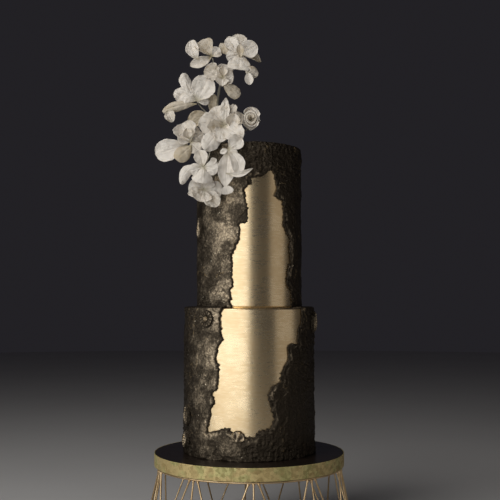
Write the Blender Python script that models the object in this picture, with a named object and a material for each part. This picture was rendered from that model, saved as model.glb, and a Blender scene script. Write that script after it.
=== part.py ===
"""Two-tier wedding cake on a round wire stand, in metres, +Z up.

The origin is the centre of the stand's foot ring, on the table. The front of the cake, with its
two gold panels, faces -Y. Angles round the cake are measured from that front towards +X.
Each tier is a gold cylinder wrapped in a torn sheet of dark bark-like icing, and a spray of sugar
flowers stands at the top left.
"""

import itertools
import math
import random
from collections import namedtuple

import bmesh
import bpy
from mathutils import Matrix, Vector

MM = 0.001
GAP = 0.3 * MM  # clearance between pieces that touch

# Wire stand
UPRIGHTS = 10
FIRST_UPRIGHT_DEG = 2.5
WIRE_RADIUS = 1.4 * MM
RING_WIRE_RADIUS = 1.7 * MM
CAGE_TOP_RADIUS = 148 * MM
CAGE_FOOT_RADIUS = 168 * MM
CAGE_HEIGHT = 110 * MM
BRACE_START_DEG = 2.8  # a brace leaves the top ring this far beside its upright
BRACE_END_DEG = 1.3  # and stops this far short of the point midway between two uprights

# Cake board
BOARD_RADIUS = 151 * MM
BOARD_THICKNESS = 20 * MM
BAND_THICKNESS = 1.2 * MM

# Tiers
LOWER_RADIUS = 102.2 * MM
LOWER_HEIGHT = 229 * MM
UPPER_RADIUS = 82.2 * MM
UPPER_HEIGHT = 257 * MM
TIER_EDGE = 2.5 * MM  # rounding of a tier's top edge
BARK_THICKNESS = 2.8 * MM
ROUND_STEPS = 52

# Heights of the surfaces, from the table up
BOARD_BOTTOM = CAGE_HEIGHT + GAP
BOARD_TOP = BOARD_BOTTOM + BOARD_THICKNESS
LOWER_FOOT = BOARD_TOP + GAP
JOINT = LOWER_FOOT + LOWER_HEIGHT
UPPER_FOOT = JOINT + GAP
CAKE_TOP = UPPER_FOOT + UPPER_HEIGHT + GAP + BARK_THICKNESS

# Torn edges of the bark round each gold panel, seen from the front: (x, height above the tier's
# foot) in millimetres, from the left edge's top or foot round to the right edge
LOWER_PANEL = [
    (-42, 236), (-42, 224), (-45, 205), (-40, 182), (-48, 167), (-51, 152), (-46, 143), (-46, 131),
    (-48, 107), (-56, 100), (-52, 87), (-58, 76), (-60, 61), (-65, 39), (-44, 47), (-31, 50),
    (-24, 42), (-20, 37), (9, 37), (14, 45), (32, 50), (37, 63), (32, 79), (27, 97), (32, 110),
    (47, 118), (50, 134), (58, 148), (60, 159), (57, 170), (63, 175), (75, 175), (76, 195),
    (81, 208), (82, 236),
]  # fmt: skip
UPPER_PANEL = [
    (-26, -6), (-26, 1), (-30, 10), (-26, 14), (-30, 28), (-24, 32), (-26, 51), (-25, 60),
    (-26, 81), (-19, 98), (-14, 107), (-14, 129), (-2, 133), (-2, 155), (-5, 170), (-6, 185),
    (4, 193), (2, 202), (22, 204), (28, 212), (35, 216), (39, 208), (43, 194), (42, 184),
    (37, 174), (52, 169), (54, 147), (52, 130), (60, 114), (65, 108), (62, 97), (65, 74),
    (59, 61), (58, 36), (64, 27), (67, 14), (66, 0), (66, -6),
]  # fmt: skip
TEAR_STEP = 6.5  # millimetres between the points of a torn edge
TEAR_DEPTH = 0.9  # millimetres

Petal = namedtuple(
    "Petal", "tip width peak blunt cup arch bow turn base", defaults=(0.6, 0.5, 0.12, 0.06, 0, 0, None)
)
Petal.__doc__ = """A petal, with places in millimetres from the cake's axis and its top.

tip: the far end; width: the widest place, at the share peak of the length; blunt: 0.5 for a round
tip and 1 for a pointed one; cup: how far the sides lift, as a share of the width; arch: how far
the middle lifts, as a share of the length; bow: how far the middle bends sideways; turn: how far
the face turns from the front about the petal's own length, in degrees; base: where the petal
starts, if not at its flower's hub: on another petal, with a bead of icing that holds it there.
"""
PETAL_THICKNESS = 1.3 * MM
HUB_RADIUS = 4.5 * MM
BEAD_RADIUS = 3.5 * MM
FOOT = 1.4  # half the width of a petal's narrow foot, in millimetres

# Each flower: its hub as (x, y, height above the cake's top) in millimetres, and its petals
FLOWERS = {
    "flower_crown_right": (
        (-14, -38, 151),
        [
            Petal((-19, -31, 187), 28),
            Petal((-37, -35, 179), 21, cup=0.2),
            Petal((13, -42, 165), 31, peak=0.55, cup=0.1, arch=0.1),
            Petal((-37, -38, 146), 22, cup=-0.1, turn=-20),
            Petal((-15, -52, 163), 12, base=(-14, -50, 140), cup=0.3),
            Petal((-17, -62, 119), 37, base=(-13, -42, 150), peak=0.8, blunt=0.4, cup=-0.1),
            Petal((19, -29, 141), 17, blunt=0.9, cup=0.3, turn=-30),
            Petal((14, -53, 112), 19, base=(-8, -57, 126), cup=-0.3),
            Petal((1, -57, 96), 14, base=(-2, -56, 118), peak=0.65, cup=0.2),
            Petal((-47, -29, 172), 18, base=(-31, -37, 151), cup=-0.2),
        ],
    ),
    "flower_crown_left": (
        (-60, -41, 147),
        [
            Petal((-85, -37, 170), 34, cup=0.25, turn=25),
            Petal((-94, -46, 172), 21, base=(-83, -45, 139), peak=0.55, cup=0.2, bow=-3),
            Petal((-95, -47, 130), 18, cup=0.2, bow=-3),
            Petal((-49, -36, 163), 15, peak=0.65, blunt=0.9),
            Petal((-44, -40, 151), 8, blunt=0.8),
        ],
    ),
    "flower_small": (
        (-43, -49, 109),
        [
            Petal((-72, -52, 122), 28, cup=0.3),
            Petal((-36, -43, 133), 25, cup=0.1),
            Petal((-25, -50, 112), 27, cup=0.2),
            Petal((-44, -56, 95), 24, cup=0.25),
            Petal((-16, -46, 79), 20, base=(-44, -51, 103), peak=0.72, blunt=0.35, cup=-0.15),
            Petal((-41, -60, 125), 15, base=(-42, -54, 110), cup=0.5),
        ],
    ),
    "flower_fan": (
        (-84, -47, 72),
        [
            Petal((-107, -50, 117), 20, peak=0.7, cup=-0.2, bow=-3, turn=15),
            Petal((-64, -55, 110), 40, peak=0.55, blunt=0.45, cup=0.12),
            Petal((-121, -48, 86), 25, peak=0.65, cup=0.1),
            Petal((-139, -52, 54), 17, cup=-0.25, bow=3, base=(-84, -48, 67)),
            Petal((-122, -53, 37), 17, base=(-131, -52.5, 56), peak=0.45, cup=0.2),
            Petal((-64, -44, 72), 14),
        ],
    ),
    "flower_back": (
        (-60, -39, 50),
        [
            Petal((-59, -38, 86), 16, peak=0.7, cup=0.2),
            Petal((-99, -41, 31), 24, bow=6, cup=0.15, arch=0.1),
            Petal((-44, -37, 58), 18),
        ],
    ),
    "flower_heart": (
        (-40, -64, 28),
        [
            Petal((-80, -59, 35), 34, cup=0.15, turn=-10),
            Petal((-54, -57, 61), 32, cup=0.1),
            Petal((-37, -57, 75), 17, peak=0.45, blunt=0.8),
            Petal((-23, -55, 64), 18, peak=0.5),
            Petal((-7, -53, 47), 24),
            Petal((-70, -88, -15), 29, peak=0.65, cup=-0.1),
            Petal((-46, -84, -1), 26, cup=0.12),
            Petal((-10, -88, 3), 34, cup=0.1, arch=0.08),
            Petal((-22, -76, 45), 22, base=(-28, -70, 24), peak=0.5, cup=0.45),
            Petal((-66, -80, 22), 20, base=(-43, -68, 27), cup=0.2),
        ],
    ),
    "flower_left": (
        (-92, -75, 0),
        [
            Petal((-105, -76, 30), 37, peak=0.65, blunt=0.4, cup=0.35),
            Petal((-74, -62, 17), 32, cup=0.1),
            Petal((-147, -73, -19), 35, base=(-96, -74, -4), peak=0.68, blunt=0.4, cup=0.12),
            Petal((-113, -87, -30), 25, base=(-90, -79, -6), blunt=0.4, cup=-0.2),
            Petal((-78, -76, -17), 22),
            Petal((-112, -81, 7), 18, cup=0.2),
            Petal((-97, -84, 20), 15, base=(-94, -80, 4), peak=0.5, cup=0.5),
        ],
    ),
    "flower_drop": (
        (-32, -92, -15),
        [
            Petal((-12, -90, 4), 26, cup=0.15),
            Petal((-45, -91, -20), 9),
            Petal((-20, -93, -28), 16),
            Petal((-37, -95, -74), 28, peak=0.5, blunt=0.7, cup=0.12, arch=0),
            Petal((-14, -94, -56), 22, peak=0.65, blunt=0.6, bow=-5, cup=0.2),
            Petal((6, -99, -45), 9, base=(-36, -96.5, -53), peak=0.5, blunt=0.9, bow=6, cup=0.3),
            Petal((-33, -95, -85), 20, base=(-36, -94, -70), peak=0.75, blunt=0.3),
        ],
    ),
    "flower_arch": (
        (-70, -98, -43),
        [
            Petal((-106, -97, -69), 18, bow=10, peak=0.7, cup=-0.3),
            Petal((-77, -97, -17), 22, cup=0.15),
            Petal((-47, -100, -45), 24, cup=-0.15),
            Petal((-50, -97, -31), 10, base=(-62, -97, -38), blunt=0.8, cup=0.3),
            Petal((-73, -104, -69), 32, peak=0.65, blunt=0.4, cup=-0.2),
            Petal((-92, -101, -50), 20, cup=-0.2),
        ],
    ),
    "flower_hem": (
        (-70, -85, -76),
        [
            Petal((-93, -87, -68), 28, peak=0.65, cup=-0.2),
            Petal((-95, -86, -84), 16, blunt=0.8),
            Petal((-62, -83, -58), 26),
            Petal((-43, -87, -84), 36, blunt=0.4, cup=-0.15),
            Petal((-48, -88, -103), 25),
            Petal((-76, -88, -96), 32, cup=0.2),
        ],
    ),
}
BUD = (3, -58, 39)  # a rolled bud, open to the front
BUD_PROFILE = [(0, 2), (6, 1), (15, -14), (11.5, -14.5), (5, -8), (0, -9)]  # radius, y from its centre

HUBS = {**{name: hub for name, (hub, petals) in FLOWERS.items()}, "flower_bud": BUD}

# Wires of the flower spray: points as (x, y, height above the cake's top) in millimetres
STEM_RADIUS = 1.1 * MM
TRUNK = [(-40, -30, 1.1), (-43, -25, 22), (-52, -20, 62), (-48, -16, 104), (-42, -18, 118)]
BRANCHES = {
    "flower_crown_right": [(-43, -17, 112), (-30, -20, 128)],
    "flower_crown_left": [(-48, -16, 104), (-54, -22, 122)],
    "flower_small": [(-52, -19, 75), (-50, -28, 95)],
    "flower_fan": [(-48, -22, 44), (-66, -22, 56), (-78, -30, 66)],
    "flower_back": [(-47, -22, 40), (-56, -22, 48)],
    "flower_heart": [(-42, -27, 14), (-42, -42, 20)],
    "flower_bud": [(-42, -27, 12), (-18, -36, 20), (-2, -46, 28)],
    "flower_left": [(-42, -28, 10), (-60, -42, 13), (-78, -58, 7)],
    "flower_drop": [(-41, -29, 7), (-33, -60, 11), (-28, -83, 5)],
    "flower_arch": [(-41, -29, 9), (-54, -56, 12), (-60, -74, -4), (-63, -86, -26)],
    "flower_hem": [(-41, -29, 8), (-60, -54, 9), (-68, -66, -16), (-70, -68, -56)],
}

# Moulded pieces pressed on the bark: tier, angle in degrees, height above the tier's foot,
# width and length and depth in millimetres, and the turn of the length from upright in degrees
Ornament = namedtuple("Ornament", "tier angle height width length depth turn")
SHELLS = {
    "shell_shoulder": Ornament("lower", 74, 208, 20, 34, 5.0, 8),
    "shell_foot_high": Ornament("lower", -66, 62, 17, 32, 4.5, -6),
    "shell_foot_low": Ornament("lower", -68, 24, 20, 30, 5.0, 12),
    "shell_upper_left": Ornament("upper", -66, 128, 14, 36, 4.0, 4),
}
DAISY = Ornament("lower", -38.5, 213, 27, 27, 3.2, 0)
DAISY_PETALS = 14
FAN = Ornament("lower", -9.5, 34, 20, 22, 2.6, 20)
FAN_LOBES = 5

TIERS = {"lower": (LOWER_RADIUS, LOWER_FOOT), "upper": (UPPER_RADIUS, UPPER_FOOT)}


def material(name, color, roughness, metallic=0.0):
    made = bpy.data.materials.new(name)
    made.use_nodes = True
    shader = made.node_tree.nodes["Principled BSDF"]
    shader.inputs["Base Color"].default_value = (*color, 1.0)
    shader.inputs["Roughness"].default_value = roughness
    shader.inputs["Metallic"].default_value = metallic
    return made


def round_point(angle_deg, radius, z):
    """A point at an angle from the front, at a radius from the cake's axis."""
    angle = math.radians(angle_deg)
    return Vector((radius * math.sin(angle), -radius * math.cos(angle), z))


def object_of(bm, name, finish, parent, smooth_deg=35):
    """A new object that holds the bmesh, shaded smooth but for its sharp edges."""
    bmesh.ops.recalc_face_normals(bm, faces=bm.faces)
    mesh = bpy.data.meshes.new(name)
    bm.to_mesh(mesh)
    bm.free()
    mesh.materials.append(finish)
    mesh.shade_smooth()
    mesh.set_sharp_from_angle(angle=math.radians(smooth_deg))
    made = bpy.data.objects.new(name, mesh)
    bpy.context.scene.collection.objects.link(made)
    made.parent = parent
    return made


def helper(made):
    """Marks a cutter or another helper, which is no piece of the cake."""
    made.hide_render = True
    made.display_type = "WIRE"
    return made


def boolean(target, other, operation):
    modifier = target.modifiers.new(operation.title(), "BOOLEAN")
    modifier.operation = operation
    modifier.object = other
    modifier.use_self = True


def turned(name, profile, finish, parent, steps=ROUND_STEPS, closed=False):
    """A solid turned about Z from its profile of (radius, z) points."""
    bm = bmesh.new()
    verts = [bm.verts.new((radius, 0, z)) for radius, z in profile]
    edges = [bm.edges.new(pair) for pair in zip(verts, verts[1:])]
    if closed:
        edges.append(bm.edges.new((verts[-1], verts[0])))
    bmesh.ops.spin(
        bm, geom=verts + edges, cent=(0, 0, 0), axis=(0, 0, 1), angle=math.tau, steps=steps, use_merge=True
    )
    bmesh.ops.remove_doubles(bm, verts=bm.verts, dist=0.01 * MM)
    return object_of(bm, name, finish, parent)


def wire_ring(name, radius, bottom, finish, parent):
    """A ring of round wire, six-sided with a flat side down."""
    sides = 6
    centre = bottom + RING_WIRE_RADIUS
    corner = RING_WIRE_RADIUS / math.cos(math.pi / sides)
    turns = [math.tau * i / sides for i in range(sides)]
    profile = [(radius + corner * math.cos(t), centre + corner * math.sin(t)) for t in turns]
    return turned(name, profile, finish, parent, steps=40, closed=True)


def strut(name, start, end, finish, parent):
    """A straight wire between two points."""
    run = end - start
    bm = bmesh.new()
    bmesh.ops.create_cone(
        bm, cap_ends=True, segments=6, radius1=WIRE_RADIUS, radius2=WIRE_RADIUS, depth=run.length
    )
    made = object_of(bm, name, finish, parent, smooth_deg=70)
    made.location = (start + end) / 2
    made.rotation_mode = "QUATERNION"
    made.rotation_quaternion = run.to_track_quat("Z", "Y")
    return made


def build_stand(finish, parent):
    """Foot ring, top ring, uprights, and two braces beside each upright."""
    top_ring_bottom = CAGE_HEIGHT - 2 * RING_WIRE_RADIUS
    wire_ring("stand_foot_ring", CAGE_FOOT_RADIUS, 0, finish, parent)
    wire_ring("stand_top_ring", CAGE_TOP_RADIUS, top_ring_bottom, finish, parent)
    low = 2 * RING_WIRE_RADIUS + 2 * GAP
    high = top_ring_bottom - 2 * GAP
    step = 360 / UPRIGHTS
    for i in range(UPRIGHTS):
        angle = FIRST_UPRIGHT_DEG + i * step
        start = round_point(angle, CAGE_TOP_RADIUS, high)
        strut(f"stand_upright_{i + 1:02d}", start, round_point(angle, CAGE_FOOT_RADIUS, low), finish, parent)
        for side, word in ((-1, "left"), (1, "right")):
            start = round_point(angle + side * BRACE_START_DEG, CAGE_TOP_RADIUS, high)
            end = round_point(angle + side * (step / 2 - BRACE_END_DEG), CAGE_FOOT_RADIUS, low)
            strut(f"stand_brace_{word}_{i + 1:02d}", start, end, finish, parent)


def build_board(black, gold, parent):
    """The iced board and the gold band round its edge."""
    edge = 0.8 * MM
    profile = [
        (0, BOARD_BOTTOM),
        (BOARD_RADIUS, BOARD_BOTTOM),
        (BOARD_RADIUS, BOARD_TOP - edge),
        (BOARD_RADIUS - edge, BOARD_TOP),
        (0, BOARD_TOP),
    ]
    turned("board", profile, black, parent)
    inner = BOARD_RADIUS + GAP
    outer = inner + BAND_THICKNESS
    band = [(inner, BOARD_BOTTOM), (outer, BOARD_BOTTOM), (outer, BOARD_TOP), (inner, BOARD_TOP)]
    turned("board_band", band, gold, parent, closed=True)


def build_tier(name, radius, foot, height, finish, parent):
    """A gold cylinder with a softly rounded top edge."""
    top = foot + height
    arc = [math.radians(a) for a in (0, 45, 90)]
    centre = radius - TIER_EDGE
    corner = [(centre + TIER_EDGE * math.cos(a), top - TIER_EDGE + TIER_EDGE * math.sin(a)) for a in arc]
    return turned(name, [(0, foot), (radius, foot), *corner, (0, top)], finish, parent)


def torn_outline(knots, seed):
    """The knots, in metres, with a shallow seeded zigzag between them like torn icing."""
    chance = random.Random(seed)
    points = []
    for start, end in zip(knots, knots[1:]):
        a, b = Vector(start), Vector(end)
        across = Vector((a.y - b.y, b.x - a.x)).normalized()
        steps = max(1, round((b - a).length / TEAR_STEP))
        for i in range(steps):
            wander = chance.uniform(-TEAR_DEPTH, TEAR_DEPTH) if i else 0
            points.append((a.lerp(b, i / steps) + across * wander) * MM)
    points.append(Vector(knots[-1]) * MM)
    return points


def panel_cutter(name, knots, foot, seed, parent):
    """A prism with the torn outline, from in front of the cake to just before its axis."""
    front, back = -130 * MM, -6 * MM
    bm = bmesh.new()
    outline = [bm.verts.new((p.x, front, foot + p.y)) for p in torn_outline(knots, seed)]
    face = bm.faces.new(outline)
    grown = bmesh.ops.extrude_face_region(bm, geom=[face])["geom"]
    moved = [v for v in grown if isinstance(v, bmesh.types.BMVert)]
    bmesh.ops.translate(bm, verts=moved, vec=(0, back - front, 0))
    return helper(object_of(bm, name, bpy.data.materials[0], parent))


def build_bark(finish, parent):
    """The torn sheets: each wraps its tier's side and folds over its top edge."""
    edge = 2 * MM
    inner, outer = UPPER_RADIUS + GAP, UPPER_RADIUS + GAP + BARK_THICKNESS
    under = UPPER_FOOT + UPPER_HEIGHT + GAP
    cap = [
        (outer, UPPER_FOOT),
        (outer, CAKE_TOP - edge),
        (outer - edge, CAKE_TOP),
        (0, CAKE_TOP),
        (0, under),
        (inner, under),
        (inner, UPPER_FOOT),
    ]
    upper = turned("bark_upper", cap, finish, parent, closed=True)
    cutter = panel_cutter("panel_upper", UPPER_PANEL, UPPER_FOOT, 3, upper)
    boolean(upper, cutter, "DIFFERENCE")

    neck = outer + 2 * GAP
    inner, outer = LOWER_RADIUS + GAP, LOWER_RADIUS + GAP + BARK_THICKNESS
    under, over = JOINT + GAP, JOINT + GAP + BARK_THICKNESS
    sleeve = [
        (outer, LOWER_FOOT),
        (outer, over - edge),
        (outer - edge, over),
        (neck, over),
        (neck, under),
        (inner, under),
        (inner, LOWER_FOOT),
    ]
    lower = turned("bark_lower", sleeve, finish, parent, closed=True)
    cutter = panel_cutter("panel_lower", LOWER_PANEL, LOWER_FOOT, 5, lower)
    boolean(lower, cutter, "DIFFERENCE")


def place_on_bark(made, spot):
    """Sets a flat-backed piece against the bark, its length turned from upright."""
    radius, foot = TIERS[spot.tier]
    made.location = round_point(spot.angle, radius + BARK_THICKNESS + 3 * GAP, foot + spot.height * MM)
    made.rotation_euler = (math.radians(90), math.radians(spot.turn), math.radians(spot.angle))
    made.rotation_mode = "XYZ"


def domed(name, outline, spot, finish, parent, rings=(1.0, 0.9, 0.55)):
    """A flat-backed mound: its outline in millimetres, drawn in ring by ring as it rises."""
    bm = bmesh.new()
    loops = []
    for share in rings:
        rise = spot.depth * math.sqrt(max(0.0, 1 - share**2)) + (0.25 * spot.depth if share < 1 else 0)
        loops.append([bm.verts.new((x * share * MM, y * share * MM, rise * MM)) for x, y in outline])
    for low, high in zip(loops, loops[1:]):
        for i in range(len(outline)):
            j = (i + 1) % len(outline)
            bm.faces.new((low[i], low[j], high[j], high[i]))
    peak = bm.verts.new((0, 0, 1.25 * spot.depth * MM))
    for i in range(len(outline)):
        bm.faces.new((loops[-1][i], loops[-1][(i + 1) % len(outline)], peak))
    bm.faces.new(reversed(loops[0]))
    made = object_of(bm, name, finish, parent)
    place_on_bark(made, spot)
    return made


def build_ornaments(finish, parent):
    """Shells, a daisy and a scalloped fan, all pressed on the bark."""
    for name, spot in SHELLS.items():
        turns = [math.tau * i / 12 for i in range(12)]
        outline = [(spot.width / 2 * math.cos(t), spot.length / 2 * math.sin(t)) for t in turns]
        domed(name, outline, spot, finish, parent)
    turns = [math.tau * i / (2 * DAISY_PETALS) for i in range(2 * DAISY_PETALS)]
    radii = [DAISY.width / 2 * (1 if i % 2 else 0.84) for i in range(2 * DAISY_PETALS)]
    daisy = [(r * math.cos(t), r * math.sin(t)) for r, t in zip(radii, turns)]
    domed("daisy", daisy, DAISY, finish, parent)
    fan = [(0, -FAN.length / 2)]
    for i in range(2 * FAN_LOBES + 1):
        t = math.radians(-75 + 150 * i / (2 * FAN_LOBES))
        reach = FAN.length * (0.78 if i % 2 else 0.7)
        fan.append((-reach * math.sin(t) * FAN.width / FAN.length, -FAN.length / 2 + reach * math.cos(t) * 1.2))
    domed("fan", fan[::-1], FAN, finish, parent)


def half_width(u, petal):
    """Half of the petal's width at the share u of its length, in millimetres."""
    rise = math.sin(math.pi / 2 * min(1, u / petal.peak))
    fall = math.cos(math.pi / 2 * max(0, (u - petal.peak) / (1 - petal.peak)))
    return max(FOOT - 0.5 * u, petal.width / 2 * rise * max(0, fall) ** petal.blunt)


def petal_into(bm, petal, hub):
    """Adds one closed petal, as a plate that is arched along its length and cupped across it."""
    base, tip = Vector(petal.base or hub), Vector(petal.tip)
    length = (tip - base).length
    along = (tip - base) / length
    front = Vector((0, -1, 0))
    face = (front - along * front.dot(along)).normalized()
    face = Matrix.Rotation(math.radians(petal.turn), 3, along) @ face
    side = along.cross(face)
    shares = (0, 0.3, petal.peak, 0.88, 1) if length > 32 else (0, 0.5, 0.86, 1) if length > 18 else (0, 0.6, 1)
    spots = []
    for u in shares:
        swell = math.sin(math.pi * u)
        middle = base + along * (length * u) + face * (petal.arch * length * swell) + side * (petal.bow * swell)
        half = half_width(u, petal)
        spots.append([middle + side * (half * v) + face * (petal.cup * 2 * half * v * v) for v in (-1, 0, 1)])
    rows = len(spots) - 1
    top, under = [], []
    for spot in itertools.chain(*spots):
        top.append(bm.verts.new(spot * MM + face * (PETAL_THICKNESS / 2)))
        under.append(bm.verts.new(spot * MM - face * (PETAL_THICKNESS / 2)))
    rim = [0, 1, 2, *(3 * i + 2 for i in range(1, rows + 1)), 3 * rows + 1, *(3 * i for i in range(rows, 0, -1))]
    for i in range(rows):
        for j in range(2):
            a = 3 * i + j
            ring = (a, a + 1, a + 4, a + 3)
            bm.faces.new([top[k] for k in ring])
            bm.faces.new([under[k] for k in reversed(ring)])
    for a, b in zip(rim, rim[1:] + rim[:1]):
        bm.faces.new((top[b], top[a], under[a], under[b]))
    if petal.base:
        bead = Matrix.Translation(base * MM)
        bmesh.ops.create_icosphere(bm, subdivisions=1, radius=BEAD_RADIUS, matrix=bead)


def flower_spot(hub):
    return Vector((hub[0] * MM, hub[1] * MM, CAKE_TOP + hub[2] * MM))


def build_flower(name, hub, petals, clearance, finish, parent):
    """One flower: its petals joined at a small hub, and hollowed where the spray's wires pass."""
    bm = bmesh.new()
    bmesh.ops.create_icosphere(bm, subdivisions=1, radius=HUB_RADIUS)
    made = object_of(bm, name, finish, parent)
    made.location = flower_spot(hub)
    bm = bmesh.new()
    for layer, petal in enumerate(petals):
        petal_into(bm, petal, Vector(hub) + Vector((0, 0.47 * (2 - layer % 5), 0)))
    plates = helper(object_of(bm, name + "_petals", finish, parent))
    plates.location.z = CAKE_TOP
    boolean(made, plates, "UNION")
    boolean(made, clearance, "DIFFERENCE")
    return made


def build_bud(clearance, finish, parent):
    """A rolled bud: a cup turned about the direction it faces, a little taller than it is wide."""
    bm = bmesh.new()
    verts = [bm.verts.new((radius * MM, y * MM, 0)) for radius, y in BUD_PROFILE]
    edges = [bm.edges.new(pair) for pair in zip(verts, verts[1:])]
    bmesh.ops.spin(bm, geom=verts + edges, cent=(0, 0, 0), axis=(0, 1, 0), angle=math.tau, steps=14)
    bmesh.ops.remove_doubles(bm, verts=bm.verts, dist=0.01 * MM)
    bmesh.ops.scale(bm, vec=(0.95, 1, 1.15), verts=bm.verts)
    made = object_of(bm, "flower_bud", finish, parent)
    made.location = flower_spot(BUD)
    boolean(made, clearance, "DIFFERENCE")
    return made


def smooth_route(points, steps=2):
    """The points with more between them, on a Catmull-Rom curve."""
    ends = [2 * points[0] - points[1], *points, 2 * points[-1] - points[-2]]
    route = []
    for i in range(1, len(ends) - 2):
        p0, p1, p2, p3 = ends[i - 1 : i + 3]
        for j in range(steps):
            t = j / steps
            route.append(
                (2 * p1 + (p2 - p0) * t + (2 * p0 - 5 * p1 + 4 * p2 - p3) * t**2
                 + (3 * p1 - p0 - 3 * p2 + p3) * t**3) / 2
            )  # fmt: skip
    return [*route, points[-1]]


def tube_into(bm, route, radius, sides=4):
    """Adds a closed round tube along the route."""
    rings = []
    side = Vector((0.3, 1, 0.1))
    for i, point in enumerate(route):
        run = (route[min(i + 1, len(route) - 1)] - route[max(i - 1, 0)]).normalized()
        side = (side - run * side.dot(run)).normalized()
        other = run.cross(side)
        turns = [math.tau * k / sides for k in range(sides)]
        rings.append([bm.verts.new(point + (side * math.cos(t) + other * math.sin(t)) * radius) for t in turns])
    for low, high in zip(rings, rings[1:]):
        for k in range(sides):
            n = (k + 1) % sides
            bm.faces.new((low[k], low[n], high[n], high[k]))
    bm.faces.new(reversed(rings[0]))
    bm.faces.new(rings[-1])


def branch_route(name):
    """A branch's route: from the trunk to just behind its flower's hub."""
    points = [flower_spot(p) for p in BRANCHES[name]]
    hub = flower_spot(HUBS[name])
    into = (hub - points[-1]).normalized()
    return smooth_route([*points, hub - into * (HUB_RADIUS + 2 * GAP)], steps=2)


def stem_mesh(name, radius, reach, finish, parent):
    """All wires of the spray as one mesh: the trunk, and a branch to each flower."""
    bm = bmesh.new()
    tube_into(bm, smooth_route([flower_spot(p) for p in TRUNK]), 1.4 * radius)
    for flower in BRANCHES:
        route = branch_route(flower)
        route[-1] += (route[-1] - route[-2]).normalized() * reach
        tube_into(bm, route, radius)
    return object_of(bm, name, finish, parent)


def build_spray(white, green, parent):
    """The wires, joined as one piece, and the flowers on their ends."""
    wires = stem_mesh("wires", STEM_RADIUS, 0, green, parent)
    helper(wires)
    bm = bmesh.new()
    bmesh.ops.create_icosphere(bm, subdivisions=1, radius=2.2 * MM)
    stems = object_of(bm, "stems", green, parent)
    stems.location = flower_spot(TRUNK[1])
    boolean(stems, wires, "UNION")
    clearance = helper(stem_mesh("wires_clearance", STEM_RADIUS + 1.5 * GAP, 1.5 * GAP, green, parent))
    for name, (hub, petals) in FLOWERS.items():
        build_flower(name, hub, petals, clearance, white, parent)
    build_bud(clearance, white, parent)


def main():
    for old in list(bpy.data.objects):
        bpy.data.objects.remove(old)
    root = bpy.data.objects.new("wedding_cake", None)
    bpy.context.scene.collection.objects.link(root)
    gold = material("gold_lustre_icing", (0.62, 0.5, 0.3), 0.32, 0.9)
    bark = material("bark_icing", (0.035, 0.028, 0.02), 0.45, 0.5)
    black = material("black_icing", (0.012, 0.01, 0.01), 0.2)
    leaf = material("gold_leaf", (0.45, 0.38, 0.17), 0.4, 0.8)
    brass = material("brass_wire", (0.7, 0.5, 0.26), 0.3, 1.0)
    sugar = material("white_sugar", (0.82, 0.78, 0.72), 0.55)
    stem = material("stem_tape", (0.7, 0.66, 0.58), 0.6)

    build_stand(brass, root)
    build_board(black, leaf, root)
    build_tier("tier_lower", LOWER_RADIUS, LOWER_FOOT, LOWER_HEIGHT, gold, root)
    build_tier("tier_upper", UPPER_RADIUS, UPPER_FOOT, UPPER_HEIGHT, gold, root)
    build_bark(bark, root)
    build_ornaments(bark, root)
    build_spray(sugar, stem, root)


main()
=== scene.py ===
# %% [markdown]
# # A wedding cake wrapped in torn bark icing
# The cake has two tall round tiers brushed with gold lustre. Round each tier goes a torn sheet of
# black sugar paste, pressed and dusted so that it looks like bark, and it leaves a ragged panel of
# gold open at the front. A spray of white sugar flowers stands at the top left. The cake stands on
# an iced board on a wire stand. The CAD model of all of it is loaded first, as a fixed frame, and
# every piece made here goes exactly where its CAD node is.

# %% Load the frame
import itertools
import math
from collections import namedtuple

import bmesh
import bpy
import numpy as np
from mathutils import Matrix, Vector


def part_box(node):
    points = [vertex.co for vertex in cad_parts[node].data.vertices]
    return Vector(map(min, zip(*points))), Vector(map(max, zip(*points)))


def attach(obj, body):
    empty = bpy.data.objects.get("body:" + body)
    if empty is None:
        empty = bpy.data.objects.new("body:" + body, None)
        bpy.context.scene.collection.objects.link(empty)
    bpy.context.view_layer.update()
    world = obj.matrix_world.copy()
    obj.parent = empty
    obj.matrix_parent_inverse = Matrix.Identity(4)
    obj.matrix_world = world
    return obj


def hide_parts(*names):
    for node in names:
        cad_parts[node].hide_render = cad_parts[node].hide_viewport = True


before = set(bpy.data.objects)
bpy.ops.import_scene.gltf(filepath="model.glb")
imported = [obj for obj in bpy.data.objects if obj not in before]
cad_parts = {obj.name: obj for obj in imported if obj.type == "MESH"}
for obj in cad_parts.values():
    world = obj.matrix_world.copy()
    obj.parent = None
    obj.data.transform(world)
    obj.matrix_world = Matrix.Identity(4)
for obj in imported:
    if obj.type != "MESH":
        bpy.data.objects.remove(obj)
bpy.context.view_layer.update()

MM = 0.001
WELD = 1e-6  # points nearer than this, in metres, become one

# %% [markdown]
# ## Surfaces from grids
# Every piece is a grid of points worked out with numpy: the rows and columns are two parameters,
# such as the height and the angle round a tier. A grid becomes a mesh when each cell gets a face.
# Numbers that a finish needs later, such as how near a point is to a torn edge, are stored on the
# points as attributes.


# %% Grids and meshes
def grid_faces(rows, cols, wrap=False):
    """The corners of each cell of a grid numbered row by row; wrap joins the last column to the first."""
    row = np.arange(rows - 1)[:, None]
    col = np.arange(cols if wrap else cols - 1)[None, :]
    beside = (col + 1) % cols
    corners = [row * cols + col, row * cols + beside, (row + 1) * cols + beside, (row + 1) * cols + col]
    return np.stack(np.broadcast_arrays(*corners), axis=-1).reshape(-1, 4)


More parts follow.
